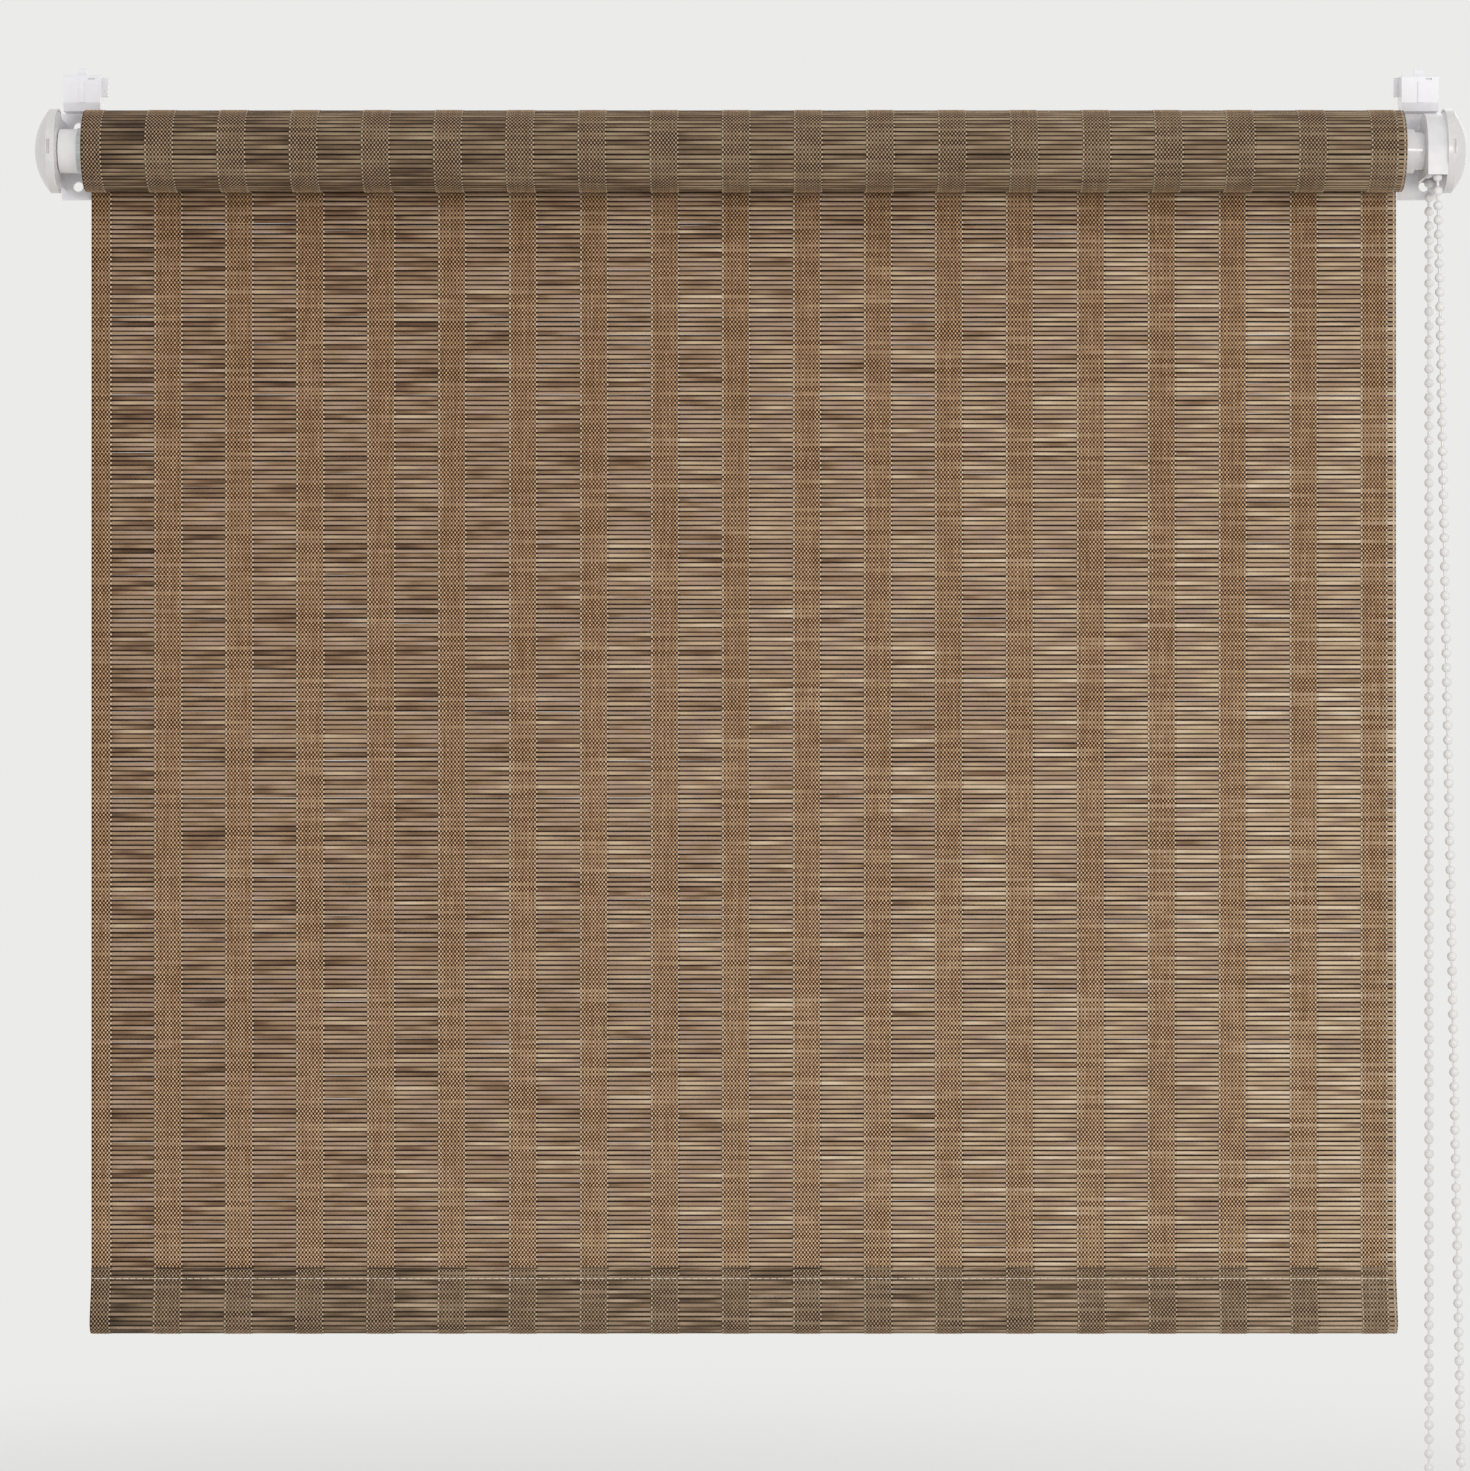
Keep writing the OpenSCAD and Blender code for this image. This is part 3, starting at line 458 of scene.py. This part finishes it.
def warpTree():  # flat ends that go over and under the rows, only in the plain bands
    tree, size, end = newTree("warpEnds", [
        ("Ends", int), ("End Pitch", float), ("End Place", float), ("Left", float), ("Width", float),
        ("Fringe", float), ("Left Margin", float), ("Repeat", float), ("Open Band", float),
        ("Last Band", float), ("Start", float), ("Run", float), ("Steps", int), ("Pitch", float),
        ("Over Place", float), ("Lift", float), ("Height", float), ("Yarn Width", float),
        ("Kind", int), ("Material", str)])
    half = addNode(tree, "ShaderNodeMath", size["Run"], 0.5, size["Start"], operation="MULTIPLY_ADD")
    tape = addNode(tree, "GeometryNodeMeshGrid", {
        "Size X": size["Yarn Width"], "Size Y": size["Run"], "Vertices X": 2, "Vertices Y": size["Steps"]})
    tape = addNode(tree, "GeometryNodeTransform", {
        "Geometry": tape.outputs["Mesh"], "Translation": addNode(tree, "ShaderNodeCombineXYZ", 0, half)})
    first = addNode(tree, "ShaderNodeMath", size["End Pitch"], size["End Place"], operation="MULTIPLY")
    ends = addNode(tree, "GeometryNodeMeshLine", {
        "Count": size["Ends"], "Start Location": addNode(tree, "ShaderNodeCombineXYZ", first),
        "Offset": addNode(tree, "ShaderNodeCombineXYZ", size["End Pitch"])}, mode="OFFSET")
    place = addNode(tree, "GeometryNodeInputPosition")
    across = addNode(tree, "ShaderNodeSeparateXYZ", place).outputs[0]
    inside = addNode(tree, "ShaderNodeMath", across, size["Left Margin"], operation="SUBTRACT")
    phase = addNode(tree, "ShaderNodeMath", inside, size["Repeat"], operation="FLOORED_MODULO")
    # an end within one yarn of an open band is a pale edge end
    fromOpen = addNode(tree, "ShaderNodeMath", phase, size["Open Band"], operation="SUBTRACT")
    toOpen = addNode(tree, "ShaderNodeMath", size["Repeat"], phase, operation="SUBTRACT")
    nearest = addNode(tree, "ShaderNodeMath", fromOpen, toOpen, operation="MINIMUM")
    edge = addNode(tree, "ShaderNodeMath", nearest, size["Yarn Width"], operation="LESS_THAN")
    # the right edge is a narrow fringe of bare rows between two pale ends
    fromRight = addNode(tree, "ShaderNodeMath", size["Width"], across, operation="SUBTRACT")
    nearRight = addNode(tree, "ShaderNodeMath", fromRight, size["Yarn Width"], operation="SUBTRACT")
    nearRight = addNode(tree, "ShaderNodeMath", nearRight, size["Fringe"], operation="LESS_THAN")
    edge = addNode(tree, "ShaderNodeMath", edge, nearRight, operation="MAXIMUM")
    index = addNode(tree, "GeometryNodeInputIndex")
    for name, value in (("pick", index), ("endX", across), ("edge", edge)):
        ends = addNode(tree, "GeometryNodeStoreNamedAttribute", {
            "Geometry": ends, "Name": name, "Value": value}, data_type="FLOAT")
    # no ends in the open bands, nor inside the fringe
    isOpen = addNode(tree, "ShaderNodeMath", phase, size["Open Band"], operation="LESS_THAN")
    pastLeft = addNode(tree, "ShaderNodeMath", inside, 0.0, operation="GREATER_THAN")
    beforeRight = addNode(tree, "ShaderNodeMath", across, size["Last Band"], operation="LESS_THAN")
    without = addNode(tree, "ShaderNodeMath", isOpen, pastLeft, operation="MULTIPLY")
    without = addNode(tree, "ShaderNodeMath", without, beforeRight, operation="MULTIPLY")
    inFringe = addNode(tree, "ShaderNodeMath", fromRight, size["Fringe"], operation="LESS_THAN")
    notLast = addNode(tree, "ShaderNodeMath", fromRight, size["End Pitch"], operation="DIVIDE")
    notLast = addNode(tree, "ShaderNodeMath", notLast, weave["lastEnd"], operation="GREATER_THAN")
    bare = addNode(tree, "ShaderNodeMath", inFringe, notLast, operation="MULTIPLY")
    without = addNode(tree, "ShaderNodeMath", without, bare, operation="MAXIMUM")
    ends = addNode(tree, "GeometryNodeDeleteGeometry", {
        "Geometry": ends, "Selection": without}, domain="POINT")
    copies = addNode(tree, "GeometryNodeInstanceOnPoints", {"Points": ends, "Instance": tape})
    flat = addNode(tree, "GeometryNodeRealizeInstances", copies)
    pick, endX = [addNode(tree, "GeometryNodeInputNamedAttribute", name, data_type="FLOAT")
                  for name in ("pick", "endX")]
    place = addNode(tree, "GeometryNodeInputPosition")
    x, y, z = addNode(tree, "ShaderNodeSeparateXYZ", place).outputs
    marker = addNode(tree, "ShaderNodeCombineXYZ", y, pick, size["Kind"])
    flat = addNode(tree, "GeometryNodeStoreNamedAttribute", {
        "Geometry": flat, "Name": "yarn", "Value": marker}, data_type="FLOAT_VECTOR")
    off = addNode(tree, "ShaderNodeMath", x, endX, operation="SUBTRACT")
    strip = stripPlace(tree, pick, size["Kind"], off, size["Yarn Width"], size["Ends"])
    down = addNode(tree, "ShaderNodeMath", y, size["Start"], operation="SUBTRACT")
    down = addNode(tree, "ShaderNodeMath", down, size["Run"], operation="DIVIDE")
    flat = layStrips(tree, flat, strip, down)
    # over one row and under the next
    turn = addNode(tree, "ShaderNodeMath", y, size["Pitch"], operation="DIVIDE")
    turn = addNode(tree, "ShaderNodeMath", turn, size["Over Place"], operation="SUBTRACT")
    turn = addNode(tree, "ShaderNodeMath", turn, 2 * math.pi, operation="MULTIPLY")
    rise = addNode(tree, "ShaderNodeMath", turn, operation="COSINE")
    rise = addNode(tree, "ShaderNodeMath", rise, size["Lift"], size["Height"], operation="MULTIPLY_ADD")
    newX = addNode(tree, "ShaderNodeMath", x, size["Left"], operation="ADD")
    flat = addNode(tree, "GeometryNodeSetPosition", {
        "Geometry": flat, "Position": addNode(tree, "ShaderNodeCombineXYZ", newX, y, rise)})
    return closeTree(tree, wrapOnPath(tree, flat, size["Geometry"]), size["Material"], end)


weftRows = weftTree()
warpEnds = warpTree()


def pathLength(points):
    return sum(math.dist(points[k], points[k + 1]) for k in range(len(points) - 1))


def rowPlan(points, closed):  # length of a path, and the rows that fill it
    run = pathLength(points + points[:1] if closed else points)
    rows = round(run / weave["pitch"])
    return run, rows, run / rows


def weftMeshes(name, points, yarns, seed, closed=False):
    rows, pitch = rowPlan(points, closed)[1:]
    made = []
    # a reed lies on its flat, a thread on its edge
    kinds = (("reed", math.pi / 4, weave["acrossFlats"]), ("thread", 0.0, 1.0))
    for number, (kind, turn, stretch) in enumerate(kinds):
        made.append(growOnPath(name + kind, points, weftRows, {
            "Rows": rows, "Pitch": pitch, "Row Place": weave[kind + "Place"],
            "Left": clothLeft, "Width": clothWidth, "Rings": weave[kind + "Rings"], "Turn": turn,
            "Yarn Width": weave[kind + "Width"] * stretch, "Yarn Thickness": weave[kind + "Thick"],
            "Swell Low": weave[kind + "Swell"][0], "Swell High": weave[kind + "Swell"][1],
            "Nudge": weave[kind + "Nudge"], "Wander": weave["wander"],
            "Kind": number, "Seed": seed, "Material": yarns[kind]}, closed))
    return made


def warpMesh(name, points, yarns, odd, closed=False):
    run, rows, pitch = rowPlan(points, closed)
    endPitch = weave["repeat"] / (weave["endsPerRepeat"] / 2)
    shift = weave["leftMargin"] / endPitch % 1
    return growOnPath(name, points, warpEnds, {
        "Ends": math.floor(clothWidth / endPitch - weave["endTail"]), "End Pitch": endPitch,
        "End Place": (shift + (weave["overEnd"] if odd else weave["underEnd"])) % 1,
        "Left": clothLeft, "Width": clothWidth, "Fringe": weave["fringe"], "Left Margin": weave["leftMargin"],
        "Repeat": weave["repeat"], "Open Band": weave["openBand"], "Last Band": lastBand,
        "Start": pitch / 4, "Run": run - pitch / 2, "Steps": 2 * rows, "Pitch": pitch,
        "Over Place": weave["threadPlace"] if odd else weave["reedPlace"], "Lift": weave["warpLift"],
        "Height": weave["warpHeight"], "Yarn Width": weave["warpWidth"], "Kind": 0 if odd else 1,
        "Material": yarns["warp"]}, closed)


def warpPair(name, points, yarns, closed=False):
    return joinPieces(name, [
        warpMesh(name + side, points, yarns, side == "Over", closed) for side in ("Over", "Under")])


# hanging cloth: straight down behind the roll; its foot goes in behind the hem's flap
dropSizes = {"seed": 11}
dropPath = [(dropY, dropHigh.z), (dropY, dropLow.z - weave["pitch"])]
dropWefts = joinPieces("dropWefts", weftMeshes("dropWeft", dropPath, dropYarns, dropSizes["seed"]))
dropWarpsOver = warpMesh("dropWarpsOver", dropPath, dropYarns, True)
dropWarpsUnder = warpMesh("dropWarpsUnder", dropPath, dropYarns, False)
print("hanging cloth woven", [len(o.data.polygons) for o in (dropWefts, dropWarpsOver, dropWarpsUnder)])

# rolled cloth: the outer turn is woven, the turns below it are one wound sheet
rollSizes = {
    "turns": 10, "steps": 48, "pathSteps": 120, "layer": 0.00058, "bore": 0.00975, "cover": 0.0005,
    "edge": 0.0002, "seed": 401}
coverRadius = rollRadius - rollSizes["cover"] / 2


def onCircle(radius, turn, midY=axisY, midZ=axisZ):
    return midY + radius * math.cos(turn), midZ + radius * math.sin(turn)


rollPath = [onCircle(coverRadius, 2 * math.pi * k / rollSizes["pathSteps"])
            for k in range(rollSizes["pathSteps"])]
rollWefts = joinPieces("rollWefts", weftMeshes("rollWeft", rollPath, rollYarns, rollSizes["seed"], True))
rollWarps = warpPair("rollWarps", rollPath, rollYarns, True)


def woundSheet():
    total = rollSizes["turns"] * rollSizes["steps"]
    grow = (coverRadius - rollSizes["cover"] - rollSizes["bore"]) / total
    verts, faces = [], []
    for k in range(total + 1):
        turn = 2 * math.pi * k / rollSizes["steps"]
        low = max(rollSizes["bore"], rollSizes["bore"] + grow * k - rollSizes["layer"] / 2)
        for radius in (low, low + rollSizes["layer"]):
            for x in (clothLeft + rollSizes["edge"], clothLeft + clothWidth - rollSizes["edge"]):
                verts.append((x, *onCircle(radius, turn)))
    for k in range(total):
        a, b = 4 * k, 4 * k + 4
        faces += [(a, a + 1, b + 1, b), (a + 2, b + 2, b + 3, a + 3),
                  (a, b, b + 2, a + 2), (a + 1, a + 3, b + 3, b + 1)]
    faces += [(0, 2, 3, 1), (4 * total, 4 * total + 1, 4 * total + 3, 4 * total + 2)]
    obj = newObject("woundTurns", verts, [], faces)
    obj.data.materials.append(woundCloth)
    return obj


woundTurns = woundSheet()
print("rolled cloth woven", len(rollWefts.data.polygons), len(rollWarps.data.polygons))

# hem: a flap, a seam line and a pocket round the weight bar
hemSizes = {
    "radius": 0.0051, "clear": 0.0001, "seam": 0.0052, "front": 0.0009, "back": 0.0006,
    "arc": (168, 372), "arcSteps": 26, "belowSeam": 0.0006, "aboveSeam": 0.0012, "seed": 733}


def hemLine():
    top, seam = hemHigh.z, hemHigh.z - hemSizes["seam"]
    front, back = dropY - hemSizes["front"], dropY + hemSizes["back"]
    midY, midZ = (hemLow.y + hemHigh.y) / 2, hemLow.z + hemSizes["radius"] + hemSizes["clear"]
    first, last = hemSizes["arc"]
    points = [(front, top), (front, seam)]
    for k in range(hemSizes["arcSteps"] + 1):
        turn = math.radians(first + (last - first) * k / hemSizes["arcSteps"])
        points.append(onCircle(hemSizes["radius"], turn, midY, midZ))
    # up the back to the hanging cloth
    heights = (seam - hemSizes["belowSeam"], seam + hemSizes["aboveSeam"], top - weave["pitch"])
    return points + [(back, z) for z in heights]


hemPath = hemLine()
hemWefts = joinPieces("hemWefts", weftMeshes("hemWeft", hemPath, hemYarns, hemSizes["seed"]))
hemWarps = warpPair("hemWarps", hemPath, hemYarns)
print("hem woven", len(hemWefts.data.polygons), len(hemWarps.data.polygons))

# hem seam: one row of pale stitches that holds the flap
stitchSizes = {
    "length": 0.0025, "step": 0.003, "thread": 0.00034, "sides": 5, "joints": 4,
    "lift": 0.00042, "dip": 0.0003, "up": 0.0006, "inset": 0.001}


def stitchTree():  # short lengths of thread in a row, with their ends drawn into the cloth
    tree, size, end = newTree("hemSeam", [
        ("Stitches", int), ("Start", float), ("Step", float), ("Seam", float), ("Lift", float),
        ("Length", float), ("Dip", float), ("Thread", float), ("Material", str)])
    rod = addNode(tree, "GeometryNodeMeshCylinder", {
        "Vertices": stitchSizes["sides"], "Side Segments": stitchSizes["joints"],
        "Radius": 0.5, "Depth": 1.0})
    rod = addNode(tree, "GeometryNodeTransform", {
        "Geometry": rod.outputs["Mesh"], "Rotation": (0, math.pi / 2, 0)})
    place = addNode(tree, "GeometryNodeInputPosition")
    along = addNode(tree, "ShaderNodeSeparateXYZ", place).outputs[0]
    bow = addNode(tree, "ShaderNodeMath", along, along, operation="MULTIPLY")
    bow = addNode(tree, "ShaderNodeMath", bow, -4.0, operation="MULTIPLY")  # a full dip at each end
    bow = addNode(tree, "ShaderNodeMath", bow, size["Dip"], operation="MULTIPLY")
    shape = addNode(tree, "ShaderNodeCombineXYZ", size["Length"], size["Thread"], size["Thread"])
    spot = addNode(tree, "ShaderNodeVectorMath", place, shape, operation="MULTIPLY")
    stitch = addNode(tree, "GeometryNodeSetPosition", {
        "Geometry": rod, "Position": spot, "Offset": addNode(tree, "ShaderNodeCombineXYZ", 0, 0, bow)})
    first = addNode(tree, "ShaderNodeCombineXYZ", size["Start"], size["Seam"], size["Lift"])
    row = addNode(tree, "GeometryNodeMeshLine", {
        "Count": size["Stitches"], "Start Location": first,
        "Offset": addNode(tree, "ShaderNodeCombineXYZ", size["Step"])}, mode="OFFSET")
    copies = addNode(tree, "GeometryNodeInstanceOnPoints", {"Points": row, "Instance": stitch})
    flat = addNode(tree, "GeometryNodeRealizeInstances", copies)
    return closeTree(tree, wrapOnPath(tree, flat, size["Geometry"]), size["Material"], end)


seamRoom = clothWidth - 2 * stitchSizes["inset"]
hemStitches = growOnPath("hemStitches", hemPath, stitchTree(), {
    "Stitches": math.floor(seamRoom / stitchSizes["step"]), "Step": stitchSizes["step"],
    "Start": clothLeft + stitchSizes["inset"] + stitchSizes["step"] / 2,
    "Seam": hemSizes["seam"] - stitchSizes["up"], "Lift": stitchSizes["lift"],
    "Length": stitchSizes["length"], "Dip": stitchSizes["dip"], "Thread": stitchSizes["thread"],
    "Material": seamThread})
print("hem seam sewn", len(hemStitches.data.polygons))

# bead chain
chainSizes = {
    "pockets": 12, "pitch": 0.006, "strand": 98, "lean": 0.0107, "fromSide": 0.004,
    "bead": 0.0042, "beadSides": 9, "beadRings": 6, "cord": 0.0012, "cordSides": 6}
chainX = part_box("chain_housing")[1].x - chainSizes["fromSide"]
wheelRound = chainSizes["pitch"] / (2 * math.sin(math.pi / chainSizes["pockets"]))
footRound = math.hypot(chainSizes["lean"], 2 * wheelRound) / 2
footBeads = round(math.pi * footRound / chainSizes["pitch"])


def chainBeads():
    strand, pitch, lean = chainSizes["strand"], chainSizes["pitch"], chainSizes["lean"]
    down = [(chainX + lean * k / strand, axisY - wheelRound, axisZ - k * pitch) for k in range(strand + 1)]
    foot = []
    for k in range(1, footBeads):
        turn = math.pi * k / footBeads
        foot.append((chainX + lean * (0.5 + 0.5 * math.cos(turn)), axisY - wheelRound * math.cos(turn),
                     axisZ - strand * pitch - footRound * math.sin(turn)))
    up = [(chainX, axisY + wheelRound, axisZ - k * pitch) for k in range(strand, 0, -1)]
    pocket = 2 * math.pi / chainSizes["pockets"]
    over = [(chainX, *onCircle(wheelRound, pocket * k)) for k in range(chainSizes["pockets"] // 2)]
    return down + foot + up + over


def chainTree():  # a bead at each point of the loop, on one cord
    tree, size, end = newTree("beadChain", [("Bead", float), ("Cord", float), ("Material", str)])
    half = addNode(tree, "ShaderNodeMath", size["Bead"], 0.5, operation="MULTIPLY")
    ball = addNode(tree, "GeometryNodeMeshUVSphere", {
        "Segments": chainSizes["beadSides"], "Rings": chainSizes["beadRings"], "Radius": half})
    beads = addNode(tree, "GeometryNodeInstanceOnPoints", {
        "Points": size["Geometry"], "Instance": ball.outputs["Mesh"]})
    beads = addNode(tree, "GeometryNodeRealizeInstances", beads)
    line = addNode(tree, "GeometryNodeMeshToCurve", size["Geometry"])
    half = addNode(tree, "ShaderNodeMath", size["Cord"], 0.5, operation="MULTIPLY")
    ring = addNode(tree, "GeometryNodeCurvePrimitiveCircle", {
        "Resolution": chainSizes["cordSides"], "Radius": half})
    cord = addNode(tree, "GeometryNodeCurveToMesh", {"Curve": line, "Profile Curve": ring.outputs["Curve"]})
    both = addNode(tree, "GeometryNodeJoinGeometry")
    tree.links.new(beads.outputs[0], both.inputs[0])
    tree.links.new(cord.outputs[0], both.inputs[0])
    return closeTree(tree, both, size["Material"], end)


beadPoints = chainBeads()
beadChain = growMesh(lineObject("beadChain", beadPoints, True), chainTree(), {
    "Bead": chainSizes["bead"], "Cord": chainSizes["cord"], "Material": beadPlastic})
print("bead chain strung", len(beadPoints))

# finishes on the CAD pieces that stay
finishes = {
    bracketPlastic: ["left_bracket", "right_bracket"],
    whitePlasticPaintedLit: ["idle_plug", "chain_sprocket", "drive_spindle"],
    housingPlasticPaintedShade: ["chain_housing"], corePlastic: ["drive_core"],
    capPlasticPaintedShade: ["left_end_cap", "right_end_cap"], hookLacquer: ["left_sash_hook", "right_sash_hook"],
    drawnSteel: ["idle_pin", "clutch_spring", "spindle_clip"], drawnAluminium: ["roll_tube", "hem_bar"],
    tapeFilm: ["fixing_tape"]}
for material, names in finishes.items():
    for name in names:
        nodes[name].data.materials.clear()
        nodes[name].data.materials.append(material)

# which body each piece moves with, and what it stands for
for piece in (dropWefts, dropWarpsOver, dropWarpsUnder):
    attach(piece, "frame")
    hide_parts("drop_cloth")
    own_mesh(piece)
for piece in (rollWefts, rollWarps, woundTurns):
    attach(piece, "roll")
    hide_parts("cloth_roll")
for piece in (hemWefts, hemWarps, hemStitches):
    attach(piece, "hem")
    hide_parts("hem_pocket")
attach(beadChain, "frame")
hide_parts("bead_chain")

# floor, light and background
stageSizes = {
    "floor": -0.66, "reach": 30.0, "pale": "#ebebe9", "ambient": 0.74, "rough": 0.9, "fade": (0.85, 1.35)}
reach = stageSizes["reach"]
corners = [(-reach, -reach), (reach, -reach), (reach, reach), (-reach, reach)]
floor = newObject("floor", [(x, y, stageSizes["floor"]) for x, y in corners], [], [(0, 1, 2, 3)])
floorPaint, floorTree, floorShader = newMaterial("studioFloorMatt")
floorShader.inputs["Base Color"].default_value = linearColor(stageSizes["pale"])
floorShader.inputs["Roughness"].default_value = stageSizes["rough"]
# the floor keeps the shadow near the blind and fades into the background further off
floorPlace = addNode(floorTree, "ShaderNodeTexCoord").outputs["Object"]
floorFar = addNode(floorTree, "ShaderNodeVectorMath", floorPlace, operation="LENGTH").outputs["Value"]
floorFade = addNode(floorTree, "ShaderNodeMapRange", {
    "Value": floorFar, "From Min": stageSizes["fade"][0], "From Max": stageSizes["fade"][1]},
    interpolation_type="SMOOTHSTEP")
floorGlow = addNode(floorTree, "ShaderNodeEmission", linearColor(stageSizes["pale"]), 1.0)
floorMix = addNode(floorTree, "ShaderNodeMixShader", floorFade, floorShader, floorGlow)
floorTree.links.new(floorMix.outputs[0], floorTree.nodes["Material Output"].inputs[0])
floor.data.materials.append(floorPaint)

# the key lamp is low and to the right, for a line of gloss on round mouldings
lamps = {
    "keyLamp": {
        "place": (0.66, -2.1, 0.0), "aim": -0.1, "size": (0.8, 0.2), "power": 9, "color": "#fffdf8"},
    "sideLamp": {
        "place": (1.65, -1.9, 0.3), "aim": -0.2, "size": (1.2, 1.0), "power": 6, "color": "#fffdf8"},
    "fillLamp": {
        "place": (-1.6, -1.8, 0.1), "aim": -0.25, "size": (1.8, 1.8), "power": 3.5, "color": "#f8fbff"},
    "backLamp": {
        "place": (0.4, 1.6, 0.8), "aim": -0.25, "size": (1.6, 1.6), "power": 6, "color": "#ffffff"}}
for name, lamp in lamps.items():
    data = bpy.data.lights.new(name, "AREA")
    data.shape = "RECTANGLE"
    data.size, data.size_y = lamp["size"]
    data.energy, data.color = lamp["power"], linearColor(lamp["color"])[:3]
    obj = bpy.data.objects.new(name, data)
    obj.location = lamp["place"]
    # turned towards the blind's middle
    x, y, z = -lamp["place"][0], -lamp["place"][1], lamp["aim"] - lamp["place"][2]
    obj.rotation_euler = (math.atan2(math.hypot(x, y), -z), 0, math.atan2(y, x) - math.pi / 2)
    scene.collection.objects.link(obj)

world = bpy.data.worlds.new("studio")
scene.world = world
world.use_nodes = True
skyTree = world.node_tree
skyTree.nodes.clear()
rays = addNode(skyTree, "ShaderNodeLightPath").outputs
seen = addNode(skyTree, "ShaderNodeMath", rays["Is Camera Ray"], rays["Is Glossy Ray"], operation="MAXIMUM")
seen = addNode(skyTree, "ShaderNodeMath", seen, rays["Is Transmission Ray"], operation="MAXIMUM")
soft = addNode(skyTree, "ShaderNodeBackground", linearColor("#ffffff"), stageSizes["ambient"])
pale = addNode(skyTree, "ShaderNodeBackground", linearColor(stageSizes["pale"]), 1.0)
sky = addNode(skyTree, "ShaderNodeMixShader", seen, soft, pale)
addNode(skyTree, "ShaderNodeOutputWorld", sky)
scene.view_settings.view_transform = "Standard"
print("stage set")
